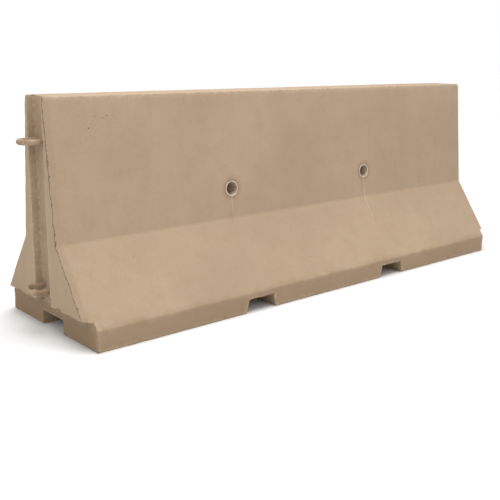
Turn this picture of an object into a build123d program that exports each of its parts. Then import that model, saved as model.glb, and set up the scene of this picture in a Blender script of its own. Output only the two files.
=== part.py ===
from build123d import *
import math
import os

# One segment of a precast concrete road barrier with the New Jersey profile and pin-and-loop ends.
# Millimetres, +Z up, +X along the barrier. The origin lies on the ground, under the middle of the base.

# Overall sizes of the cast body
length = 2286.0
height = 813.0
base_width = 610.0
top_width = 152.0
curb_height = 76.0
break_height = 330.0
break_width = 254.0

# End faces: chamfered corners, a keyway for the connector loops, and an undercut below
corner_chamfer = 19.0
keyway_depth = 26.0
keyway_flare = 9.0
keyway_clearance = 1.0
undercut_height = 102.0
undercut_depth = 34.0

# Underside: a channel along the barrier between two feet, and two slots across it
channel_width = 142.0
channel_height = 50.0
slot_width = 148.0
slot_roof_width = 124.0
slot_height = 50.0
slot_spacing = 778.0

# Lifting sleeves, cast in through the stem
sleeve_bore = 51.0
sleeve_wall = 5.0
sleeve_height = 444.0
sleeve_spacing = 774.0

# Connector loops: U bars cast into both ends, at heights that let two barriers interleave
loop_bar_diameter = 20.0
loop_eye_width = 40.0
loop_reach = 61.0
loop_anchor_length = 350.0
hook_bend_radius = 40.0
hook_length = 100.0
upper_loop_drop = 149.0
lower_loop_height = 156.0
loop_stagger = 32.0
lower_loop_tilt = 7.0

# Reinforcement cage
concrete_cover = 28.0
stirrup_diameter = 10.0
middle_stirrup_spacing = 320.0
outer_stirrup_count = 3
stirrup_end_distance = 99.0
stirrup_sleeve_distance = 34.5
bar_diameter = 16.0
bar_end_cover = 75.0
base_bar_spacing = 160.0
tie_gap = 1.5

LEFT = -1
RIGHT = 1

flank_slope = (base_width - break_width) / 2 / (break_height - curb_height)


def flank_half_width(z):
    """Half of the width between the two sloped flanks, at height z."""
    return break_width / 2 + (break_height - z) * flank_slope


def symmetric_outline(right_side):
    """The points of a closed outline, from those on its right side listed upwards."""
    left_side = [(-across, up) for across, up in reversed(right_side)]
    return right_side + left_side


def tube_along(path, diameter):
    """A round bar of one diameter along a path."""
    with BuildPart() as bar:
        with BuildSketch(Plane(path @ 0, z_dir=path % 0)):
            Circle(diameter / 2)
        sweep(path=path)
    return bar.part


# The body before anything is cut from it: the profile along the whole length, with chamfered corners
profile_points = symmetric_outline(
    [
        (base_width / 2, 0),
        (base_width / 2, curb_height),
        (break_width / 2, break_height),
        (top_width / 2, height),
    ]
)

with BuildPart() as envelope:
    with BuildSketch(Plane.YZ.offset(-length / 2)):
        with BuildLine():
            Polyline(*profile_points, close=True)
        make_face()
    extrude(amount=length)
    level_edges = envelope.edges().filter_by(Axis.Y)
    corner_edges = envelope.faces().filter_by(Axis.X).edges() - level_edges
    chamfer(corner_edges, corner_chamfer)

# Lifting sleeves: plain tubes whose ends are flush with the two faces of the stem
sleeve_radius = sleeve_bore / 2 + sleeve_wall


def sleeve_plane(side):
    """The plane through the middle of a sleeve, square to its axis."""
    return Plane(origin=(side * sleeve_spacing / 2, 0, sleeve_height), z_dir=(0, 1, 0))


def lifting_sleeve(side):
    """The sleeve on the left or the right of the middle."""
    with BuildPart() as sleeve:
        with BuildSketch(sleeve_plane(side)):
            Circle(sleeve_radius)
            Circle(sleeve_bore / 2, mode=Mode.SUBTRACT)
        extrude(amount=base_width / 2, both=True)
        add(envelope.part, mode=Mode.INTERSECT)
    return sleeve.part


# Connector loops: each bar runs out of the keyway, round the pin and back, and ends in two hooks
loop_radius = (loop_eye_width + loop_bar_diameter) / 2
upper_loop_height = height - upper_loop_drop
loop_centre = length / 2 + loop_reach - loop_bar_diameter / 2 - loop_radius
leg_end = length / 2 - loop_anchor_length
hook_start = leg_end - hook_bend_radius


def connector_loop(end, loop_height, hook_turn, tilt=0.0):
    """A loop at one end; hook_turn is 1 for hooks that point up and -1 for hooks that point down."""

    def spot(outward, across, up):
        turned = Vector(0, across, up).rotate(Axis.X, tilt)
        return Vector(end * outward, turned.Y, loop_height + turned.Z)

    def hook(across):
        bend_middle = hook_bend_radius * math.sin(math.radians(45))
        return [
            spot(hook_start, across, hook_turn * (hook_bend_radius + hook_length)),
            spot(hook_start, across, hook_turn * hook_bend_radius),
            spot(leg_end - bend_middle, across, hook_turn * (hook_bend_radius - bend_middle)),
            spot(leg_end, across, 0),
            spot(loop_centre, across, 0),
        ]

    tip_a, bend_a, middle_a, leg_a, eye_a = hook(loop_radius)
    tip_b, bend_b, middle_b, leg_b, eye_b = hook(-loop_radius)
    with BuildLine() as centre_line:
        Line(tip_a, bend_a)
        ThreePointArc(bend_a, middle_a, leg_a)
        Line(leg_a, eye_a)
        ThreePointArc(eye_a, spot(loop_centre + loop_radius, 0, 0), eye_b)
        Line(eye_b, leg_b)
        ThreePointArc(leg_b, middle_b, bend_b)
        Line(bend_b, tip_b)
    return tube_along(centre_line.wire(), loop_bar_diameter)


# Reinforcement cage: stirrups that follow the profile, and straight bars inside their corners
def cage_outline(inset, corner_radius=0.0):
    """An outline inside the concrete, inset from its faces and from the roof of the slots."""
    roof = max(channel_height, slot_height)
    points = symmetric_outline(
        [
            (flank_half_width(roof), roof),
            (break_width / 2, break_height),
            (top_width / 2, height),
        ]
    )
    with BuildSketch(Plane.YZ) as outline:
        with BuildLine():
            Polyline(*points, close=True)
        make_face()
        offset(amount=-inset, kind=Kind.INTERSECTION)
        if corner_radius:
            fillet(outline.vertices(), corner_radius)
    return outline.sketch


bar_to_stirrup = bar_diameter / 2 + tie_gap + stirrup_diameter / 2
stirrup_inset = concrete_cover + stirrup_diameter / 2
stirrup_path = cage_outline(stirrup_inset, corner_radius=bar_to_stirrup).face().outer_wire()


def stirrup(x):
    """One closed hoop, standing across the barrier at x."""
    return tube_along(stirrup_path.moved(Location((x, 0, 0))), stirrup_diameter)


def longitudinal_bar(across, up):
    """One straight bar along the barrier."""
    bar_half_length = length / 2 - bar_end_cover
    with BuildPart() as bar:
        with BuildSketch(Plane(origin=(-bar_half_length, across, up), z_dir=(1, 0, 0))):
            Circle(bar_diameter / 2)
        extrude(amount=2 * bar_half_length)
    return bar.part


corner_spots = [
    (corner.Y, corner.Z) for corner in cage_outline(stirrup_inset + bar_to_stirrup).vertices()
]
base_bar_level = min(up for across, up in corner_spots)
base_spots = [(side * base_bar_spacing / 2, base_bar_level) for side in (LEFT, RIGHT)]
bar_spots = sorted(corner_spots + base_spots, key=lambda spot: (round(spot[1]), spot[0]))

# One stirrup on each side of the middle, and the others evenly spaced from a sleeve to the end
beside_sleeve = sleeve_spacing / 2 + sleeve_radius + stirrup_sleeve_distance
beside_end = length / 2 - stirrup_end_distance
outer_step = (beside_end - beside_sleeve) / (outer_stirrup_count - 1)
right_half = [middle_stirrup_spacing / 2]
right_half += [beside_sleeve + number * outer_step for number in range(outer_stirrup_count)]
stirrup_places = sorted([-x for x in right_half] + right_half)

# Everything that is cast into the concrete
cast_in = {
    "lifting_sleeve_left": lifting_sleeve(LEFT),
    "lifting_sleeve_right": lifting_sleeve(RIGHT),
    "connector_loop_left_upper": connector_loop(LEFT, upper_loop_height, -1),
    "connector_loop_left_lower": connector_loop(LEFT, lower_loop_height, 1, lower_loop_tilt),
    "connector_loop_right_upper": connector_loop(RIGHT, upper_loop_height - loop_stagger, -1),
    "connector_loop_right_lower": connector_loop(RIGHT, lower_loop_height + loop_stagger, 1),
}
for number, (across, up) in enumerate(bar_spots, start=1):
    cast_in[f"longitudinal_bar_{number}"] = longitudinal_bar(across, up)
for number, x in enumerate(stirrup_places, start=1):
    cast_in[f"stirrup_{number}"] = stirrup(x)

# The concrete: the envelope less its keyways, undercuts, channel and slots, cast round the steel
keyway_floor_width = loop_eye_width + 2 * (loop_bar_diameter + keyway_clearance)
keyway_width = keyway_floor_width + 2 * keyway_flare
with BuildPart() as concrete_body:
    add(envelope.part)
    for end in (LEFT, RIGHT):
        face = end * length / 2
        floor = end * (length / 2 - keyway_depth)
        with BuildSketch(Plane.XY):
            with BuildLine():
                Polyline(
                    (face, -keyway_width / 2),
                    (face, keyway_width / 2),
                    (floor, keyway_floor_width / 2),
                    (floor, -keyway_floor_width / 2),
                    close=True,
                )
            make_face()
        extrude(amount=height, mode=Mode.SUBTRACT)
        with BuildSketch(Plane.XY):
            with Locations((face, 0)):
                Rectangle(2 * undercut_depth, base_width)
        extrude(amount=undercut_height, mode=Mode.SUBTRACT)
    with BuildSketch(Plane.XY):
        Rectangle(length, channel_width)
    extrude(amount=channel_height, mode=Mode.SUBTRACT)
    for side in (LEFT, RIGHT):
        slot_middle = Plane(origin=(side * slot_spacing / 2, 0, 0), x_dir=(1, 0, 0), z_dir=(0, -1, 0))
        with BuildSketch(slot_middle):
            with BuildLine():
                Polyline(
                    (-slot_width / 2, 0),
                    (slot_width / 2, 0),
                    (slot_roof_width / 2, slot_height),
                    (-slot_roof_width / 2, slot_height),
                    close=True,
                )
            make_face()
        extrude(amount=base_width / 2, both=True, mode=Mode.SUBTRACT)
        with BuildSketch(sleeve_plane(side)):
            Circle(sleeve_radius)
        extrude(amount=base_width / 2, both=True, mode=Mode.SUBTRACT)
    for name, piece in cast_in.items():
        if not name.startswith("lifting_sleeve"):
            add(piece, mode=Mode.SUBTRACT)

os.makedirs("parts", exist_ok=True)
concrete_body.part.label = "concrete_body"
export_step(concrete_body.part, "parts/concrete_body.step")
for name, piece in cast_in.items():
    piece.label = name
    export_step(piece, f"parts/{name}.step")
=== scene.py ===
# %% [markdown]
# # A precast concrete road barrier with pin-and-loop ends
# A road barrier of this kind is one block of concrete, cast upside down in a steel form around a cage
# of reinforcing bars. Two lifting holes pass through the upper wall, and a bar loop at two heights on
# each end takes the long pin that ties it to its neighbour.
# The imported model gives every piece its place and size, in metres. This lesson makes the pieces look
# like what they are: settled concrete with worn edges and air bubbles, coated loops that rust, ribbed
# bars and dusty sleeves.

# %% Load the frame
import math

import bmesh
import bpy
from mathutils import Matrix, Vector, kdtree, noise


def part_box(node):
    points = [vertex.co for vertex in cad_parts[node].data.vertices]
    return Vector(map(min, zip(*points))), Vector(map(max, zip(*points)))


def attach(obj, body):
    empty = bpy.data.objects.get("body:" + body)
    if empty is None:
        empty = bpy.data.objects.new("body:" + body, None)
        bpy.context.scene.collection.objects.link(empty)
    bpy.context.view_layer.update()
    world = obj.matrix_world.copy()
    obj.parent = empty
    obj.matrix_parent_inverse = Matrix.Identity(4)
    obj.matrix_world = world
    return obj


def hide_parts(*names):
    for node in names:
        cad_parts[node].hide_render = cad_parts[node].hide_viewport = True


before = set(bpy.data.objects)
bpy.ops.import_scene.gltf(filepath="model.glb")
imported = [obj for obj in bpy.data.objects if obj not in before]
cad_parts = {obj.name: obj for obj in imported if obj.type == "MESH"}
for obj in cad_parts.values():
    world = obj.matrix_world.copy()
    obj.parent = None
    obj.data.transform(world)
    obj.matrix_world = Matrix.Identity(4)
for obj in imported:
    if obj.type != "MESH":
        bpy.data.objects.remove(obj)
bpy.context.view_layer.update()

body_low, body_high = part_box("concrete_body")
half_length = body_high.x
loop_names = sorted(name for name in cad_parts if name.startswith("connector_loop"))
loop_boxes = [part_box(name) for name in loop_names]
sleeve_boxes = [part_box("lifting_sleeve_" + side) for side in ("left", "right")]
hole_centres = [[(a + b) / 2 for a, b in zip(*box)] for box in sleeve_boxes]
print("its concrete is", [round(side, 3) for side in body_high - body_low], "m")

# %% [markdown]
# ## The view
# A barrier is best seen from a standing height, off one end, so that the end face with its keyway and
# the long face show together. The camera is fixed here first, because every finish is judged from it.
# The direction is given as a heading from the cross direction, a pitch and a small roll.

# %% Camera
CAMERA_PLACE = Vector((-2.340, -2.432, 0.976))
LENS_PER_WIDTH = 1.5844  # the focal length, as a multiple of the sensor's width
heading, pitch, roll = math.radians(41.53), math.radians(-14.38), math.radians(0.93)
ahead = Vector((math.sin(heading) * math.cos(pitch), math.cos(heading) * math.cos(pitch), math.sin(pitch)))
level_right = Vector((math.cos(heading), -math.sin(heading), 0))
level_up = level_right.cross(ahead)
right = math.cos(roll) * level_right + math.sin(roll) * level_up
up = math.cos(roll) * level_up - math.sin(roll) * level_right
camera_data = bpy.data.cameras.new("camera")
camera_data.sensor_width = 36
camera_data.lens = LENS_PER_WIDTH * camera_data.sensor_width
camera = bpy.data.objects.new("camera", camera_data)
turned = Matrix((right, up, -ahead)).transposed().to_4x4()
camera.matrix_world = Matrix.Translation(CAMERA_PLACE) @ turned
bpy.context.scene.collection.objects.link(camera)
bpy.context.scene.camera = camera
print("the lens is", round(camera_data.lens, 1), "mm")

# %% [markdown]
# ## Concrete 1: a clean copy of the cast shape
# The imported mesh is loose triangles. A copy is merged into one skin, and only the outer skin is kept:
# the hollows round the sealed bars are inside, where nothing is seen. The sockets of the loops are
# closed at the keyway floor, because the real bars are cast in without a gap.

# %% Merge the copy and keep the outer skin
WELD = 2e-5  # points nearer than this are one point
ABOVE_ROAD = 0.001  # a skin that starts higher than this is a hollow inside


def islands(shape):
    """The connected parts of a mesh, as lists of faces."""
    left, found = dict.fromkeys(shape.faces), []
    while left:
        stack = [next(iter(left))]
        del left[stack[0]]
        island = list(stack)
        while stack:
            for edge in stack.pop().edges:
                for face in edge.link_faces:
                    if face in left:
                        del left[face]
                        stack.append(face)
                        island.append(face)
        found.append(island)
    return found


shape = bmesh.new()
shape.from_mesh(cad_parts["concrete_body"].data)
bmesh.ops.remove_doubles(shape, verts=shape.verts, dist=WELD)
skins = islands(shape)
for faces in skins:
    lowest = min(min(vert.co.z for vert in face.verts) for face in faces)
    if lowest > ABOVE_ROAD:
        bmesh.ops.delete(shape, geom=faces, context="FACES")
print(len(skins), "skins, of which the outer one is kept, with", len(shape.faces), "faces")

# %% [markdown]
# A leg's socket is known by its place: inside the box of a loop, and deeper than the keyway's floor.
# Its faces go, the round openings that they leave are filled, and the flat faces become one face each.

# %% Close the sockets of the loops
KEYWAY_DEPTH = 0.026
TOUCH = 1e-4  # how far past a loop's box its socket may reach
keyway_floor = half_length - KEYWAY_DEPTH


def in_socket(face):
    """Whether a face is the wall of a hole that a loop's leg is cast in."""
    for low, high in loop_boxes:
        inside = all(
            low[axis] - TOUCH < vert.co[axis] < high[axis] + TOUCH for vert in face.verts for axis in range(3)
        )
        if inside and any(abs(vert.co.x) < keyway_floor - 10 * TOUCH for vert in face.verts):
            return True
    return False


sockets = [face for face in shape.faces if in_socket(face)]
bmesh.ops.delete(shape, geom=sockets, context="FACES")
bmesh.ops.holes_fill(shape, edges=[edge for edge in shape.edges if edge.is_boundary], sides=0)
bmesh.ops.dissolve_limit(
    shape, angle_limit=math.radians(0.6), verts=shape.verts, edges=shape.edges, use_dissolve_boundaries=False
)
open_edges = sum(1 for edge in shape.edges if not edge.is_manifold)
print(len(sockets), "socket faces closed,", len(shape.faces), "faces,", open_edges, "open edges")

# %% [markdown]
# ## Concrete 2: softened edges
# No cast edge is razor sharp: the form's corners are a few millimetres round, and years of handling wear
# them further. A bevel along every edge between two faces of the form does this. The rims of the lifting
# holes keep a smaller round, because the sleeves' ends shield them. The line of every edge is kept for
# later, for the wear that gathers along it.

# %% Bevel the edges of the form
FORM_ROUND = 0.004
RIM_ROUND = 0.0015
RIM_REACH = 0.035  # the rims lie inside this distance from a hole's middle
RIM_EDGE = 0.012  # and are made of edges shorter than this
KEYWAY_SIDE = 0.052  # half of the keyway's width at the end face, and 2 mm more


def turn(edge):
    """The angle between the two faces at an edge."""
    return edge.calc_face_angle() if edge.is_manifold else 0


def on_hole_rim(edge):
    """Whether an edge is part of a lifting hole's round rim."""
    spot = edge.verts[0].co
    away = min(math.hypot(spot.x - x, spot.z - z) for x, y, z in hole_centres)
    return away < RIM_REACH and edge.calc_length() < RIM_EDGE


def round_off(edges, width):
    """Turns each edge into two narrow faces that round it off."""
    bmesh.ops.bevel(
        shape, geom=edges, offset=width, segments=2, profile=0.5, affect="EDGES",
        clamp_overlap=True, offset_type="OFFSET",
    )


form_edges = [edge for edge in shape.edges if turn(edge) > math.radians(12) and not on_hole_rim(edge)]
form_lines = [(edge.verts[0].co.copy(), edge.verts[1].co.copy(), turn(edge)) for edge in form_edges]
end_outline = {
    (round(vert.co.x, 4), round(vert.co.y, 4), round(vert.co.z, 4))
    for edge in form_edges
    for vert in edge.verts
    if abs(vert.co.x) > half_length - TOUCH and abs(vert.co.y) > KEYWAY_SIDE
}
round_off(form_edges, FORM_ROUND)
rim_edges = [edge for edge in shape.edges if turn(edge) > math.radians(60) and on_hole_rim(edge)]
round_off(rim_edges, RIM_ROUND)
bad_edges = sum(1 for edge in shape.edges if not edge.is_manifold)
print(len(form_edges), "form edges and", len(rim_edges), "rim edges rounded,", bad_edges, "bad edges")

# %% [markdown]
# ## Concrete 3: a net of small faces
# The flat faces of a form are never quite flat once the concrete has set, so the skin needs points
# inside its faces before it can be moved. Sets of parallel cuts along the three axes give an even net and
# keep every edge where it is. Each cut works on the faces near it only, by halving the set of cuts.

# %% Cut the skin into a net
NET = 0.012
CUT_SNAP = 1e-5  # a cut this near to a point goes through it


def cut_apart(faces, axis, places):
    """Cuts faces at every place along an axis, halving the list of places and the faces with it."""
    if not places or not faces:
        return
    middle = places[len(places) // 2]
    spot, across = Vector((0, 0, 0)), Vector((0, 0, 0))
    spot[axis], across[axis] = middle, 1
    geometry = dict.fromkeys(faces)
    for face in faces:
        geometry.update(dict.fromkeys(face.edges))
        geometry.update(dict.fromkeys(face.verts))
    result = bmesh.ops.bisect_plane(
        shape, geom=list(geometry), dist=CUT_SNAP, plane_co=spot, plane_no=across
    )
    sides = ([], [])
    for face in result["geom"]:
        if isinstance(face, bmesh.types.BMFace):
            centre = sum(vert.co[axis] for vert in face.verts) / len(face.verts)
            sides[centre > middle].append(face)
    cut_apart(sides[0], axis, places[: len(places) // 2])
    cut_apart(sides[1], axis, places[len(places) // 2 + 1 :])


def spread(low, high, step):
    """Places from low to high, about a step apart, off the two ends."""
    count = max(2, round((high - low) / step))
    return [low + (high - low) * (number + 0.5) / count for number in range(count)]


for axis in (2, 1, 0):
    cut_apart(list(shape.faces), axis, spread(body_low[axis], body_high[axis], NET))
print(len(shape.verts), "points and", len(shape.faces), "faces in the net")

# %% [markdown]
# ## Concrete 4: settled faces and worn edges
# How far a point moves depends on how near it is to an edge. A search tree answers that fast: it holds
# points every 4 mm along the kept lines and finds the nearest one. The form's end plate meets its side
# plates along the corner chamfers. Cement leaks into that joint and breaks off, which leaves a dark
# wandering groove down the end face, so its lines get a tree of their own.

# %% Search trees along the edges and the form's joints
STEEP = math.radians(50)  # an edge that turns more than this wears


def tree_of(lines, step=0.004):
    """A search tree that finds the nearest of the evenly spaced points along straight lines."""
    spots = []
    for start, end in lines:
        count = max(2, round((end - start).length / step))
        spots += [start.lerp(end, number / count) for number in range(count + 1)]
    tree = kdtree.KDTree(len(spots))
    for number, spot in enumerate(spots):
        tree.insert(spot, number)
    tree.balance()
    return tree


joint_lines = []
for end in (-1, 1):
    for side in (-1, 1):
        rising = sorted((z, y) for x, y, z in end_outline if x * end > 0 and y * side > 0)
        points = [Vector((end * half_length, y, z)) for z, y in rising]
        joint_lines += list(zip(points, points[1:]))
strong_tree = tree_of([(a, b) for a, b, angle in form_lines if angle > STEEP])
mild_tree = tree_of([(a, b) for a, b, angle in form_lines if angle <= STEEP])
joint_tree = tree_of(joint_lines)
print(len(form_lines), "edge lines and", len(joint_lines), "joint lines")

# %% [markdown]
# Concrete shrinks a little as it sets, so its faces are about a millimetre hollow here and there, and
# its edges lose grains. The points of the net move inwards only, so that the block never outgrows its
# drawn size: a long wave and a short one over the faces, and more beside the edges. The lip above each
# undercut is thin and breaks most. Away from the edges the points also slide a little along the skin,
# which hides the straight rows of the net. The feet stay flat where they stand on the road.

# %% Move the points inwards
LONG_WAVE, SHORT_WAVE = 0.0006, 0.00025  # half of the depth of each wave
WEAR_REACH = 0.018  # how far from an edge it wears
EDGE_WEAR, CHIP, CRUMBLE = 0.0006, 0.0022, 0.0008
LIP_LOW, LIP_HIGH, LIP_THICKNESS, LIP_WEAR = 0.095, 0.13, 0.012, 0.011
JOINT_REACH, GROOVE = 0.006, 0.0024
SLIDE, SLIDE_SHARE, STILL_REACH = 0.0034, 0.27, 0.016  # the share is of the shortest edge at a point
SOLE = 0.0005  # the feet's undersides lie below this height


def grain(spot, millimetres, seed=0):
    """A smooth random number from about -1 to 1, whose bumps are as far apart as given."""
    return noise.noise(spot * (1000 / millimetres) + Vector((seed * 17.3, seed * 5.1, seed * 9.7)))


shape.normal_update()
noise.seed_set(11)
moves = []
for vert in shape.verts:
    spot = vert.co
    edge_distance = strong_tree.find(spot)[2]
    near_edge = max(0.0, 1 - edge_distance / WEAR_REACH)
    waves = LONG_WAVE * (1 + grain(spot, 260, 1)) + SHORT_WAVE * (1 + grain(spot, 45, 2))
    chip = CHIP * max(0.0, 0.25 + grain(spot, 38, 3))
    wear = near_edge * (EDGE_WEAR + chip + CRUMBLE * abs(grain(spot, 11, 4)))
    if abs(spot.x) > half_length - LIP_THICKNESS and LIP_LOW < spot.z < LIP_HIGH:
        wear += near_edge * LIP_WEAR * max(0.0, 0.1 + grain(spot, 26, 5))
    near_joint = max(0.0, 1 - joint_tree.find(spot)[2] / JOINT_REACH)
    groove = near_joint * GROOVE * max(0.0, 0.45 + grain(spot, 30, 6))
    slide = Vector((0, 0, 0))
    if min(edge_distance, mild_tree.find(spot)[2]) > STILL_REACH:
        room = min(edge.calc_length() for edge in vert.link_edges)
        slide = noise.random_unit_vector(size=3) * min(SLIDE, SLIDE_SHARE * room)
        slide -= slide.project(vert.normal)
    moves.append(slide - vert.normal * (waves + wear + groove))
for vert, move in zip(shape.verts, moves):
    if vert.co.z < SOLE:
        move.z = 0
    vert.co += move
bmesh.ops.recalc_face_normals(shape, faces=shape.faces)
print("the points moved by up to", round(1000 * max(move.length for move in moves), 1), "mm")

# %% [markdown]
# The net becomes an object that sits at the origin, unturned, with its place in its mesh. A pattern on
# Object coordinates then lies on the finished piece just as the places in its mesh do.


# %% Make the net an object
def new_object(name, mesh):
    """An object at the origin that shows a mesh."""
    thing = bpy.data.objects.new(name, mesh)
    bpy.context.scene.collection.objects.link(thing)
    return thing


concrete_mesh = bpy.data.meshes.new("concrete")
shape.to_mesh(concrete_mesh)
concrete = new_object("barrier_concrete", concrete_mesh)
print(len(concrete_mesh.polygons), "faces in", concrete.name)

# %% [markdown]
# ## A helper for node trees
# Materials and Geometry Nodes are both trees of nodes. One small function adds a node, gives it its
# settings, and either fills a socket with a value or links another node's output to it.


# %% Add a node
def add(tree, kind, sockets=None, **settings):
    """Adds a node; sockets maps a name or a number to a value or to another node's output socket."""
    made = tree.nodes.new(kind)
    for name, value in settings.items():
        setattr(made, name, value)
    for name, value in (sockets or {}).items():
        socket = made.inputs[name]
        if isinstance(value, bpy.types.NodeSocket):
            tree.links.new(value, socket)
        else:
            socket.default_value = value
    return made


def new_tree(name, inputs):
    """A geometry tree with one geometry in, one out, and named inputs given as (name, kind, default)."""
    tree = bpy.data.node_groups.new(name, "GeometryNodeTree")
    tree.interface.new_socket("Geometry", in_out="INPUT", socket_type="NodeSocketGeometry")
    for label, kind, default in inputs:
        socket = tree.interface.new_socket(label, in_out="INPUT", socket_type="NodeSocket" + kind)
        if default is not None:
            socket.default_value = default
    tree.interface.new_socket("Geometry", in_out="OUTPUT", socket_type="NodeSocketGeometry")
    return tree, tree.nodes.new("NodeGroupInput").outputs


def run_tree(thing, tree, values):
    """The plain mesh that a tree makes of an object, with the tree's inputs set by their names."""
    modifier = thing.modifiers.new(tree.name, "NODES")
    modifier.node_group = tree
    for socket in tree.interface.items_tree:
        if socket.in_out == "INPUT" and socket.name in values:
            modifier[socket.identifier] = values[socket.name]
    graph = bpy.context.evaluated_depsgraph_get()
    result = bpy.data.meshes.new_from_object(thing.evaluated_get(graph), depsgraph=graph)
    thing.modifiers.remove(modifier)
    return result


print("helpers for trees ready")

# %% [markdown]
# ## Concrete 5: air bubbles
# Air trapped against the form leaves pits of 2 to 6 mm, called bug holes. Cutting each one out with a
# Boolean is slow on so many faces. Geometry Nodes can make them in the net itself: faces picked at random
# are inset to a small mouth and pushed in, so each pit is a real hollow with a crisp rim. First the tree
# picks the faces, by a chance that is written on the points, and gives each pit the size of its mouth.

# %% Pick the faces that get a pit
holes_tree, given = new_tree(
    "Bug holes",
    [
        ("Share of faces", "Float", 0.004),
        ("Smallest mouth", "Float", 0.16),
        ("Largest mouth", "Float", 0.5),
        ("Depth", "Float", 0.003),
        ("Seed", "Int", 1),
        ("Material", "Material", None),
    ],
)
chance = add(holes_tree, "GeometryNodeInputNamedAttribute", {"Name": "pit_chance"}, data_type="FLOAT")
share = add(
    holes_tree, "ShaderNodeMath",
    {0: given["Share of faces"], 1: chance.outputs["Attribute"]},
    operation="MULTIPLY",
)
picked = add(
    holes_tree, "FunctionNodeRandomValue",
    {"Probability": share.outputs[0], "Seed": given["Seed"]},
    data_type="BOOLEAN",
)
luck = add(holes_tree, "FunctionNodeRandomValue", {"Seed": given["Seed"]}, data_type="FLOAT")
rare = add(holes_tree, "ShaderNodeMath", {0: luck.outputs[1], 1: 2.0}, operation="POWER")
mouth = add(
    holes_tree, "ShaderNodeMapRange",
    {"Value": rare.outputs[0], "To Min": given["Smallest mouth"], "To Max": given["Largest mouth"]},
)
print(len(holes_tree.nodes), "nodes pick the faces")

# %% [markdown]
# Each picked face is extruded twice: once without moving, which gives a ring of rim faces round a small
# mouth, and once inwards, to a floor that is smaller still. The floor's points get a mark: the finish paints
# them dark, as painted shade.

# %% Sink the picked faces
inset = add(
    holes_tree, "GeometryNodeExtrudeMesh",
    {"Mesh": given["Geometry"], "Selection": picked.outputs[3], "Offset Scale": 0.0, "Individual": True},
    mode="FACES",
)
rim = add(
    holes_tree, "GeometryNodeScaleElements",
    {"Geometry": inset.outputs["Mesh"], "Selection": inset.outputs["Top"], "Scale": mouth.outputs["Result"]},
    domain="FACE",
)
inwards = add(holes_tree, "ShaderNodeMath", {0: given["Depth"], 1: -1.0}, operation="MULTIPLY")
sunk = add(
    holes_tree, "GeometryNodeExtrudeMesh",
    {
        "Mesh": rim.outputs["Geometry"],
        "Selection": inset.outputs["Top"],
        "Offset Scale": inwards.outputs[0],
        "Individual": True,
    },
    mode="FACES",
)
floor_of_pit = add(
    holes_tree, "GeometryNodeScaleElements",
    {"Geometry": sunk.outputs["Mesh"], "Selection": sunk.outputs["Top"], "Scale": 0.6},
    domain="FACE",
)
# the mark by which the pits' floors are painted dark, as painted shade
marked = add(
    holes_tree, "GeometryNodeStoreNamedAttribute",
    {
        "Geometry": floor_of_pit.outputs["Geometry"],
        "Selection": sunk.outputs["Top"],
        "Name": "pit",
        "Value": 1.0,
    },
    data_type="FLOAT", domain="POINT",
)
real = add(holes_tree, "GeometryNodeRealizeInstances", {"Geometry": marked.outputs["Geometry"]})
painted = add(
    holes_tree, "GeometryNodeSetMaterial",
    {"Geometry": real.outputs["Geometry"], "Material": given["Material"]},
)
add(holes_tree, "NodeGroupOutput", {"Geometry": painted.outputs["Geometry"]})
print(len(holes_tree.nodes), "nodes sink the bug holes")

# %% [markdown]
# ## Helpers for the finishes
# A colour is written as its sRGB hex code, which a shader needs as linear numbers. Nearly every mark on
# worn concrete and steel is a cloud of noise at some real size, cut between two of its levels, so one
# function makes that cloud. Another lays colours over each other in order, as coats of paint are.


# %% Colours, clouds and coats
def linear(code):
    """A linear colour from an sRGB hex code."""
    parts = [int(code[place : place + 2], 16) / 255 for place in (1, 3, 5)]
    return [part / 12.92 if part <= 0.04045 else ((part + 0.055) / 1.055) ** 2.4 for part in parts] + [1.0]


def new_material(name):
    """A material with no nodes yet, and its tree."""
    material = bpy.data.materials.new(name)
    material.use_nodes = True
    material.node_tree.nodes.clear()
    return material, material.node_tree


def clouds(tree, where, millimetres, low, high, detail=3.0, stretch=(1, 1, 1)):
    """Noise with bumps as far apart as given, spread from 0 to 1 between two of its levels."""
    wide = add(tree, "ShaderNodeMapping", {"Vector": where, "Scale": stretch})
    cloud = add(
        tree, "ShaderNodeTexNoise",
        {"Vector": wide.outputs[0], "Scale": 1000 / millimetres, "Detail": detail, "Roughness": 0.6},
    )
    cut = add(tree, "ShaderNodeMapRange", {"Value": cloud.outputs[0], "From Min": low, "From Max": high})
    return cut.outputs["Result"]


def coated(tree, base, coats):
    """A base colour under coats, each given as where it shows, how strongly, and its colour."""
    colour = linear(base)
    for shown, strength, code in coats:
        amount = add(tree, "ShaderNodeMath", {0: shown, 1: strength}, operation="MULTIPLY")
        laid = add(
            tree, "ShaderNodeMix", {0: amount.outputs[0], 6: colour, 7: linear(code)}, data_type="RGBA"
        )
        colour = laid.outputs[2]
    return colour


print("helpers for the finishes ready")
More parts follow.
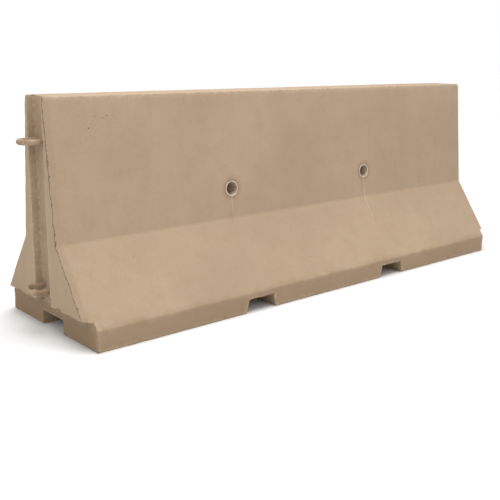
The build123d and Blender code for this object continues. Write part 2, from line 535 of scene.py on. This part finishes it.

# %% [markdown]
# ## The finish of precast concrete
# Cement, sand and stone, cast against a steel form: a matt, fine-grained skin, warm tan from its sand.
# The eye reads broad clouds of tone, 300 mm and more across, from the damp and the form oil; blotches of
# 50 mm; vertical streaks where rain has run from the top; sand grain of about 1 mm, drawn here as 4 mm so
# that it shows; feet that darken towards the bottom, pits painted dark as shade, and pale rubbed edges. The
# coats come in that order.

# %% The skin's own colours and feet that darken towards the bottom
DARK_BAND_HIGH, DARK_BAND_LOW, DARK_BAND_SWAY = 0.065, 0.04, 0.05
concrete_finish, tree = new_material("tan precast concrete")
where = add(tree, "ShaderNodeTexCoord").outputs["Object"]
place = add(tree, "ShaderNodeSeparateXYZ", {0: where}).outputs
written = {
    name: add(tree, "ShaderNodeAttribute", attribute_name=name, attribute_type="GEOMETRY").outputs["Fac"]
    for name in ("wear", "stain", "pit")
}
dark_band_line = add(
    tree, "ShaderNodeMath",
    {0: clouds(tree, where, 90, 0.2, 0.8), 1: -DARK_BAND_SWAY, 2: place["Z"]},
    operation="MULTIPLY_ADD",
)
dark_band = add(
    tree, "ShaderNodeMapRange",
    {"Value": dark_band_line.outputs[0], "From Min": DARK_BAND_HIGH, "From Max": DARK_BAND_LOW},
)
rubbed = add(
    tree, "ShaderNodeMath", {0: written["wear"], 1: clouds(tree, where, 14, 0.4, 0.6)}, operation="MULTIPLY"
)
damp = clouds(tree, where, 420, 0.35, 0.65)
blotches = clouds(tree, where, 60, 0.5, 0.78)
rain = clouds(tree, where, 30, 0.52, 0.8, stretch=(1, 1, 0.05))
dark_sand = clouds(tree, where, 4, 0.56, 0.85, detail=2.0)
pale_sand = clouds(tree, where, 5, 0.6, 0.85, detail=1.0)
coats = [
    (damp, 1.0, "#a38e76"),
    (blotches, 0.42, "#967f66"),
    (rain, 0.25, "#968069"),
    (dark_sand, 0.5, "#80684e"),
    (pale_sand, 0.22, "#c4b199"),
    # darker towards the bottom of the feet
    (dark_band.outputs["Result"], 0.45, "#836b51"),
    (rubbed.outputs[0], 0.5, "#c3b199"),
]
print(len(coats), "coats for the skin itself")

# %% [markdown]
# ### Pale drips below the lifting holes
# Rain washes lime out of the holes, and it dries as a thin pale line that ends some way down. A drip is
# where four things hold at once: near the hole's middle line, which sways a little; above the drip's end,
# where it fades in; below the hole; and on the front of the block.

# %% Drips
DRIP_EDGE, DRIP_CORE = 0.0045, 0.0015  # half of its width, where it starts and where it is full
DRIP_FADE, DRIP_SWAY, DRIP_ENDS = 0.1, 0.014, (0.31, 0.22)
HOLE_RADIUS = 0.03
front = add(tree, "ShaderNodeMath", {0: place["Y"], 1: 0.0}, operation="LESS_THAN")
for (hole_x, hole_y, hole_z), drip_end in zip(hole_centres, DRIP_ENDS):
    sway = add(
        tree, "ShaderNodeMath",
        {0: clouds(tree, where, 130, 0.3, 0.7), 1: DRIP_SWAY, 2: -hole_x - DRIP_SWAY / 2},
        operation="MULTIPLY_ADD",
    )
    beside = add(tree, "ShaderNodeMath", {0: place["X"], 1: sway.outputs[0]}, operation="ADD")
    off_line = add(tree, "ShaderNodeMath", {0: beside.outputs[0]}, operation="ABSOLUTE")
    line = add(
        tree, "ShaderNodeMapRange",
        {"Value": off_line.outputs[0], "From Min": DRIP_EDGE, "From Max": DRIP_CORE},
    )
    fade = add(
        tree, "ShaderNodeMapRange",
        {"Value": place["Z"], "From Min": drip_end, "From Max": drip_end + DRIP_FADE},
    )
    under = add(tree, "ShaderNodeMath", {0: place["Z"], 1: hole_z - HOLE_RADIUS}, operation="LESS_THAN")
    drip = line.outputs[0]
    for limit in (fade, under, front):
        drip = add(tree, "ShaderNodeMath", {0: drip, 1: limit.outputs[0]}, operation="MULTIPLY").outputs[0]
    coats.append((drip, 0.34, "#cfbfa8"))
print(len(coats), "coats with the drips")

# %% [markdown]
# ### The joint's dark line
# The dirt in the form's joint follows the end face's outline, which is two straight lines: the flank's
# and the stem's. Each gives a half width at a height, and the larger of the two counts. The line wanders
# by 5 mm, its width changes on the way, and it shows on the end faces only.

# %% The line along the outline of the end face
LINE_WANDER, THIN_LINE, THICK_LINE, END_SKIN = 0.005, 0.0016, 0.0062, 0.008
outline = sorted({(z, y) for x, y, z in end_outline if x < 0 and y > 0})
half_widths = []
for (low_z, low_y), (high_z, high_y) in zip(outline, outline[1:]):
    steepness = (high_y - low_y) / (high_z - low_z)
    half_widths.append(
        add(
            tree, "ShaderNodeMath",
            {0: place["Z"], 1: steepness, 2: low_y - steepness * low_z},
            operation="MULTIPLY_ADD",
        )
    )
flank, stem = half_widths
edge_at = add(tree, "ShaderNodeMath", {0: flank.outputs[0], 1: stem.outputs[0]}, operation="MAXIMUM")
wander = add(
    tree, "ShaderNodeMath",
    {0: clouds(tree, where, 26, 0.3, 0.7), 1: LINE_WANDER, 2: -LINE_WANDER / 2},
    operation="MULTIPLY_ADD",
)
sideways = add(tree, "ShaderNodeMath", {0: place["Y"]}, operation="ABSOLUTE")
inset_by = add(tree, "ShaderNodeMath", {0: sideways.outputs[0], 1: edge_at.outputs[0]}, operation="SUBTRACT")
swayed = add(tree, "ShaderNodeMath", {0: inset_by.outputs[0], 1: wander.outputs[0]}, operation="ADD")
off_line = add(tree, "ShaderNodeMath", {0: swayed.outputs[0]}, operation="ABSOLUTE")
width = add(
    tree, "ShaderNodeMapRange",
    {"Value": clouds(tree, where, 17, 0.45, 0.75), "To Min": THIN_LINE, "To Max": THICK_LINE},
)
share = add(
    tree, "ShaderNodeMath", {0: off_line.outputs[0], 1: width.outputs["Result"]}, operation="DIVIDE"
)
darkness = add(tree, "ShaderNodeMath", {0: 1.0, 1: share.outputs[0]}, operation="SUBTRACT")
on_line = add(tree, "ShaderNodeClamp", {"Value": darkness.outputs[0]})
lengthways = add(tree, "ShaderNodeMath", {0: place["X"]}, operation="ABSOLUTE")
on_end = add(
    tree, "ShaderNodeMath", {0: lengthways.outputs[0], 1: half_length - END_SKIN}, operation="GREATER_THAN"
)
joint_line = add(tree, "ShaderNodeMath", {0: on_line.outputs[0], 1: on_end.outputs[0]}, operation="MULTIPLY")
print(len(outline), "corners of the end face give", len(half_widths), "lines")

# %% [markdown]
# ### The shader
# The stains with their painted shade, the joint's line and the pits' floors, painted dark as shade, are
# darkest, so they come last. Fine noise gives the skin its tooth, and its roughness changes slowly from place
# to place.
# Concrete reflects little, so the specular level is below the default.

# %% Lay the coats and finish the shader
coats += [
    # stains mixed with painted shade: rings round the holes, keyways, below the loops and undercuts
    (written["stain"], 0.65, "#6b5238"),
    (joint_line.outputs[0], 0.85, "#54402c"),
    # painted shade: the floors of the bug holes painted dark
    (written["pit"], 1.0, "#4f3c29"),
]
colour = coated(tree, "#9b866f", coats)
relief = add(tree, "ShaderNodeTexNoise", {"Vector": where, "Scale": 250.0, "Detail": 4.0, "Roughness": 0.6})
bump = add(tree, "ShaderNodeBump", {"Height": relief.outputs[0], "Strength": 0.35, "Distance": 0.0012})
rough = add(
    tree, "ShaderNodeMapRange",
    {"Value": clouds(tree, where, 50, 0.3, 0.7), "To Min": 0.82, "To Max": 0.95},
)
skin = add(
    tree, "ShaderNodeBsdfPrincipled",
    {
        "Base Color": colour,
        "Roughness": rough.outputs[0],
        "Normal": bump.outputs[0],
        "IOR": 1.5,
        "Specular IOR Level": 0.3,
    },
)
add(tree, "ShaderNodeOutputMaterial", {"Surface": skin.outputs[0]})
print(len(tree.nodes), "nodes in", concrete_finish.name)

# %% [markdown]
# ## Concrete 6: sink the bug holes
# Bubbles rise while the concrete is shaken, and crowd together where the form holds them, so the chance
# of a pit is patchy over the block and high in one spot near the top of one end. The undersides of the
# feet get none, because they stand on the road.

# %% Write the chance of a pit and run the tree
CROWD = Vector((-half_length + 0.200, -0.086, 0.722))
CROWD_CHANCE, PLAIN_CHANCE, PATCHY_CHANCE = 75, 0.35, 1.2
PITLESS = 0.004  # no pit below this height
chances = []
for vert in concrete_mesh.vertices:
    off = (vert.co - CROWD) * 1000
    patchy = max(0.0, grain(vert.co, 180, 11)) * PATCHY_CHANCE
    crowded = CROWD_CHANCE * math.exp(-((off.x / 70) ** 2) - (off.y / 30) ** 2 - (off.z / 52) ** 2)
    chances.append(0.0 if vert.co.z < PITLESS else PLAIN_CHANCE + patchy + crowded)
concrete_mesh.attributes.new("pit_chance", "FLOAT", "POINT").data.foreach_set("value", chances)
pitted = run_tree(
    concrete, holes_tree,
    {"Share of faces": 0.0022, "Depth": 0.0035, "Seed": 3, "Material": concrete_finish},
)
pitted.attributes.remove(pitted.attributes["pit_chance"])
pitted.name = "concrete"
concrete.data = pitted
print(len(pitted.polygons), "faces after the bug holes")

# %% [markdown]
# ## Concrete 7: stains, painted shade and wear
# Wear, and stains mixed with painted shade, follow the block's own parts, so they are written on the points
# as two numbers, which the finish reads. The stains are drips below the lifting holes; the painted shade is a
# dark ring round each hole, a darker keyway, a painted shadow below each loop and darker undercuts. Wear lies
# along the strong edges.

# %% Write the stains and the wear
RING_RADIUS, RING_WIDTH = 0.034, 0.009
DRIP_LENGTH, DRIP_WIDTH, STAIN_SWAY = 0.24, 0.014, 0.012
LOOP_SHADOW_LENGTH = 0.14
UNDERCUT_DEPTH, UNDERCUT_HEIGHT = 0.040, 0.098
RUBBED_REACH = 0.014
SHARP = math.radians(9)  # an edge that turns more is not smoothed over
# A lower loop's hooks point up and an upper loop's down, so its bar is at that end of its box.
loop_levels = [(low.x + high.x, low.z if high.z < 0.45 else high.z) for low, high in loop_boxes]


def stain_and_shade_at(spot):
    """How stained, or darkened by painted shade, the concrete is at a point, from 0 to 1."""
    amount = 0.0
    for x, y, z in hole_centres:
        away = math.hypot(spot.x - x, spot.z - z)
        # painted shade: a dark ring round the hole, for the shade in the gap round the sleeve
        amount = max(amount, 0.55 * math.exp(-(((away - RING_RADIUS) / RING_WIDTH) ** 2)))
        drip = math.exp(-(((spot.x - x - STAIN_SWAY * grain(spot, 90, 21)) / DRIP_WIDTH) ** 2))
        if z - DRIP_LENGTH < spot.z < z:
            amount = max(amount, 0.28 * drip * (1 - (z - spot.z) / DRIP_LENGTH))
    # painted shade: the keyway recess made darker, unevenly
    if abs(spot.x) > keyway_floor - 0.004 and abs(spot.y) < KEYWAY_SIDE:
        amount = max(amount, 0.22 + 0.3 * max(0.0, grain(spot, 60, 22)))
        # painted shadow below each loop, darkest under the bar and fading downwards
        for side, level in loop_levels:
            if side * spot.x > 0 and level - LOOP_SHADOW_LENGTH < spot.z < level:
                amount = max(amount, 0.75 * (1 - (level - spot.z) / LOOP_SHADOW_LENGTH))
    # painted shade: the undercuts below the lips made darker
    if abs(spot.x) > half_length - UNDERCUT_DEPTH and spot.z < UNDERCUT_HEIGHT:
        amount = max(amount, 0.5)
    return amount


spots = [vert.co for vert in pitted.vertices]
layers = {
    "wear": [max(0.0, 1 - strong_tree.find(spot)[2] / RUBBED_REACH) for spot in spots],
    "stain": [stain_and_shade_at(spot) for spot in spots],
}
for name, values in layers.items():
    pitted.attributes.new(name, "FLOAT", "POINT").data.foreach_set("value", values)
pitted.polygons.foreach_set("use_smooth", [True] * len(pitted.polygons))
pitted.set_sharp_from_angle(angle=SHARP)
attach(concrete, "root")
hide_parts("concrete_body")
# the count takes in the painted shade with the stains
print(sum(value > 0.5 for value in layers["stain"]), "of", len(spots), "points are strongly stained")

# %% [markdown]
# ## The steel and the plastic
# The loops are plain round bars that were sprayed with the same cement-coloured coat as the block, which
# is dull, and rust shows through it in patches and specks. The sealed bars have mill scale, a blue-grey
# skin from hot rolling, with light rust and a dull metal shine. The sleeves are moulded polyethylene,
# smooth but dusted with cement. Patches are 24 to 35 mm wide, and specks 4 to 7 mm.


# %% Steel and plastic finishes
def worn_finish(name, base, second, third, patch, speck, roughness, metal, bump_height):
    """A finish in three colours: a base, patches of a second and specks of a third, sizes in millimetres."""
    material, tree = new_material(name)
    where = add(tree, "ShaderNodeTexCoord").outputs["Object"]
    patches = clouds(tree, where, patch, 0.4, 0.62)
    specks = clouds(tree, where, speck, 0.52, 0.7, detail=4.0)
    colour = coated(tree, base, [(patches, 1.0, second), (specks, 1.0, third)])
    relief = add(tree, "ShaderNodeTexNoise", {"Vector": where, "Scale": 1000 / speck, "Detail": 4.0})
    bump = add(
        tree, "ShaderNodeBump", {"Height": relief.outputs[0], "Strength": 0.5, "Distance": bump_height}
    )
    rough = add(
        tree, "ShaderNodeMapRange",
        {
            "Value": clouds(tree, where, patch, 0.3, 0.7),
            "To Min": roughness - 0.12,
            "To Max": roughness + 0.08,
        },
    )
    skin = add(
        tree, "ShaderNodeBsdfPrincipled",
        {"Base Color": colour, "Roughness": rough.outputs[0], "Normal": bump.outputs[0], "Metallic": metal},
    )
    add(tree, "ShaderNodeOutputMaterial", {"Surface": skin.outputs[0]})
    return material


finishes = {
    "connector_loop": worn_finish(
        "sprayed and rusting steel", "#a08a72", "#8c755c", "#6f573f", 26, 7, 0.78, 0.0, 0.0008
    ),
    "lifting_sleeve": worn_finish(
        "moulded polyethylene", "#b9a68f", "#a5917a", "#cbbba5", 30, 5, 0.6, 0.0, 0.0003
    ),
    "longitudinal_bar": worn_finish(
        "hot rolled steel", "#4d4a48", "#5d4a3c", "#7a4a2c", 35, 5, 0.62, 0.7, 0.0006
    ),
    "stirrup": worn_finish(
        "hot rolled hoop steel", "#504c49", "#604b3b", "#7d4c2d", 24, 4, 0.62, 0.7, 0.0005
    ),
}
for name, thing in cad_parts.items():
    for start, finish in finishes.items():
        if name.startswith(start):
            thing.data.materials.clear()
            thing.data.materials.append(finish)
print(len(finishes), "finishes on", len(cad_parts) - 1, "packed pieces")

# %% [markdown]
# ## Ribbed bars
# The straight bars of the cage are deformed bars: hot rolling leaves low ribs across them, about 10 mm
# apart on a 16 mm bar, so that the concrete grips. A rib is a rule along a path, which is work for
# Geometry Nodes: a line is swept with a ring, and the points of the sweep rise and fall with the length
# travelled. The ring's own turn is added, so that the ribs lean.

# %% The tree that sweeps a ribbed bar
RING_POINTS = 12
LEAN = 0.45  # how far a rib moves along the bar as it climbs
ribs_tree, given = new_tree(
    "Ribbed bar",
    [
        ("Core radius", "Float", 0.0072),
        ("Rib height", "Float", 0.0007),
        ("Rib spacing", "Float", 0.010),
        ("Step", "Float", 0.0025),
        ("Material", "Material", None),
    ],
)
line = add(ribs_tree, "GeometryNodeMeshToCurve", {"Mesh": given["Geometry"]})
walk = add(
    ribs_tree, "GeometryNodeResampleCurve",
    {"Curve": line.outputs["Curve"], "Length": given["Step"]},
    mode="LENGTH",
)
ring = add(
    ribs_tree, "GeometryNodeCurvePrimitiveCircle", {"Resolution": RING_POINTS, "Radius": given["Core radius"]}
)
tube = add(
    ribs_tree, "GeometryNodeCurveToMesh",
    {"Curve": walk.outputs["Curve"], "Profile Curve": ring.outputs["Curve"], "Fill Caps": True},
)
spot = add(ribs_tree, "GeometryNodeInputPosition")
axes = add(ribs_tree, "ShaderNodeSeparateXYZ", {0: spot.outputs[0]})
lean = add(ribs_tree, "ShaderNodeMath", {0: axes.outputs["Z"], 1: LEAN}, operation="MULTIPLY")
along = add(ribs_tree, "ShaderNodeMath", {0: axes.outputs["X"], 1: lean.outputs[0]}, operation="ADD")
turns = add(ribs_tree, "ShaderNodeMath", {0: along.outputs[0], 1: given["Rib spacing"]}, operation="DIVIDE")
phase = add(ribs_tree, "ShaderNodeMath", {0: turns.outputs[0], 1: 2 * math.pi}, operation="MULTIPLY")
wave = add(ribs_tree, "ShaderNodeMath", {0: phase.outputs[0]}, operation="SINE")
crest = add(
    ribs_tree, "ShaderNodeMapRange",
    {"Value": wave.outputs[0], "From Min": 0.3, "From Max": 0.9, "To Max": given["Rib height"]},
)
facing = add(ribs_tree, "GeometryNodeInputNormal")
rise = add(
    ribs_tree, "ShaderNodeVectorMath",
    {0: facing.outputs[0], "Scale": crest.outputs["Result"]},
    operation="SCALE",
)
ribbed = add(
    ribs_tree, "GeometryNodeSetPosition", {"Geometry": tube.outputs["Mesh"], "Offset": rise.outputs[0]}
)
real = add(ribs_tree, "GeometryNodeRealizeInstances", {"Geometry": ribbed.outputs["Geometry"]})
painted = add(
    ribs_tree, "GeometryNodeSetMaterial",
    {"Geometry": real.outputs["Geometry"], "Material": given["Material"]},
)
add(ribs_tree, "NodeGroupOutput", {"Geometry": painted.outputs["Geometry"]})
print(len(ribs_tree.nodes), "nodes sweep a bar")

# %% [markdown]
# Each drawn bar gives the two ends of a guide line, 1 mm inside its own ends, and its radius. The core
# and the ribs together stay just inside that radius. The guide goes once its bar is swept.

# %% Sweep the bars
END_GAP = 0.001
CORE_SHARE, RIB_SHARE = 0.9, 0.085  # of the drawn bar's radius
bar_names = sorted(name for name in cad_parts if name.startswith("longitudinal_bar"))
for name in bar_names:
    low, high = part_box(name)
    middle = (low + high) / 2
    ends = [(low.x + END_GAP, middle.y, middle.z), (high.x - END_GAP, middle.y, middle.z)]
    guide_mesh = bpy.data.meshes.new(name)
    guide_mesh.from_pydata(ends, [(0, 1)], [])
    guide = new_object(name + "_guide", guide_mesh)
    radius = (high.y - low.y) / 2
    sizes = {
        "Core radius": CORE_SHARE * radius,
        "Rib height": RIB_SHARE * radius,
        "Material": finishes["longitudinal_bar"],
    }
    bar_mesh = run_tree(guide, ribs_tree, sizes)
    bpy.data.objects.remove(guide)
    bar = new_object(name.replace("longitudinal", "ribbed"), bar_mesh)
    bar_mesh.polygons.foreach_set("use_smooth", [True] * len(bar_mesh.polygons))
    bar_mesh.set_sharp_from_angle(angle=math.radians(60))
    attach(bar, "root")
    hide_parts(name)
print(len(bar_names), "ribbed bars of", len(bar_mesh.polygons), "faces")

# %% [markdown]
# ## The stage
# A pale floor, painted brighter away from the block until it is white, as painted light that blends it into
# a white surround, and one large soft lamp overhead, a little to the left and to the front. Most of the light
# comes from above, so the top is brightest, the sloping flank next, and the feet stay dim. The floor is like
# paper: matt, so that it mirrors nothing.

# %% Floor
FLOOR_HALF, FLOOR_LEVEL = 60, -0.0005
PALE_REACH, WHITE_REACH = 1.4, 4.5
corners = [
    (x * FLOOR_HALF, y * FLOOR_HALF, FLOOR_LEVEL) for x, y in ((-1, -1), (1, -1), (1, 1), (-1, 1))
]
floor_mesh = bpy.data.meshes.new("floor")
floor_mesh.from_pydata(corners, [], [(0, 1, 2, 3)])
floor = new_object("floor", floor_mesh)
floor_finish, tree = new_material("pale floor with painted light")
where = add(tree, "ShaderNodeTexCoord").outputs["Object"]
reach = add(tree, "ShaderNodeVectorMath", {0: where}, operation="LENGTH")
painted_whitening = add(
    tree, "ShaderNodeMapRange",
    {"Value": reach.outputs["Value"], "From Min": PALE_REACH, "From Max": WHITE_REACH},
)
# painted light: the floor whitens away from the block
tone = coated(tree, "#dededd", [(painted_whitening.outputs["Result"], 1.0, "#ffffff")])
skin = add(
    tree, "ShaderNodeBsdfPrincipled", {"Base Color": tone, "Roughness": 0.9, "Specular IOR Level": 0.1}
)
add(tree, "ShaderNodeOutputMaterial", {"Surface": skin.outputs[0]})
floor_mesh.materials.append(floor_finish)
print("the floor is", 2 * FLOOR_HALF, "m wide")

# %% [markdown]
# The lamp is a disc wider than the block is high, so its shadow has a soft edge. The Standard view shows
# the finishes' colours as they were chosen.

# %% Surround and lamp
LAMP_PLACE, LAMP_TARGET = Vector((-0.6, -0.5, 4.6)), Vector((0, 0, 0.3))
world = bpy.data.worlds.new("surround")
world.use_nodes = True
world.node_tree.nodes["Background"].inputs["Color"].default_value = (1.0, 1.0, 1.0, 1.0)
world.node_tree.nodes["Background"].inputs["Strength"].default_value = 1.0
bpy.context.scene.world = world
bpy.context.scene.view_settings.view_transform = "Standard"
lamp_data = bpy.data.lights.new("overhead", "AREA")
lamp_data.shape = "DISK"
lamp_data.size = 3.6
lamp_data.energy = 185
lamp = bpy.data.objects.new("overhead", lamp_data)
lamp.location = LAMP_PLACE
lamp.rotation_euler = (LAMP_TARGET - LAMP_PLACE).to_track_quat("-Z", "Y").to_euler()
bpy.context.scene.collection.objects.link(lamp)
print("the lamp hangs", LAMP_PLACE.z, "m up")
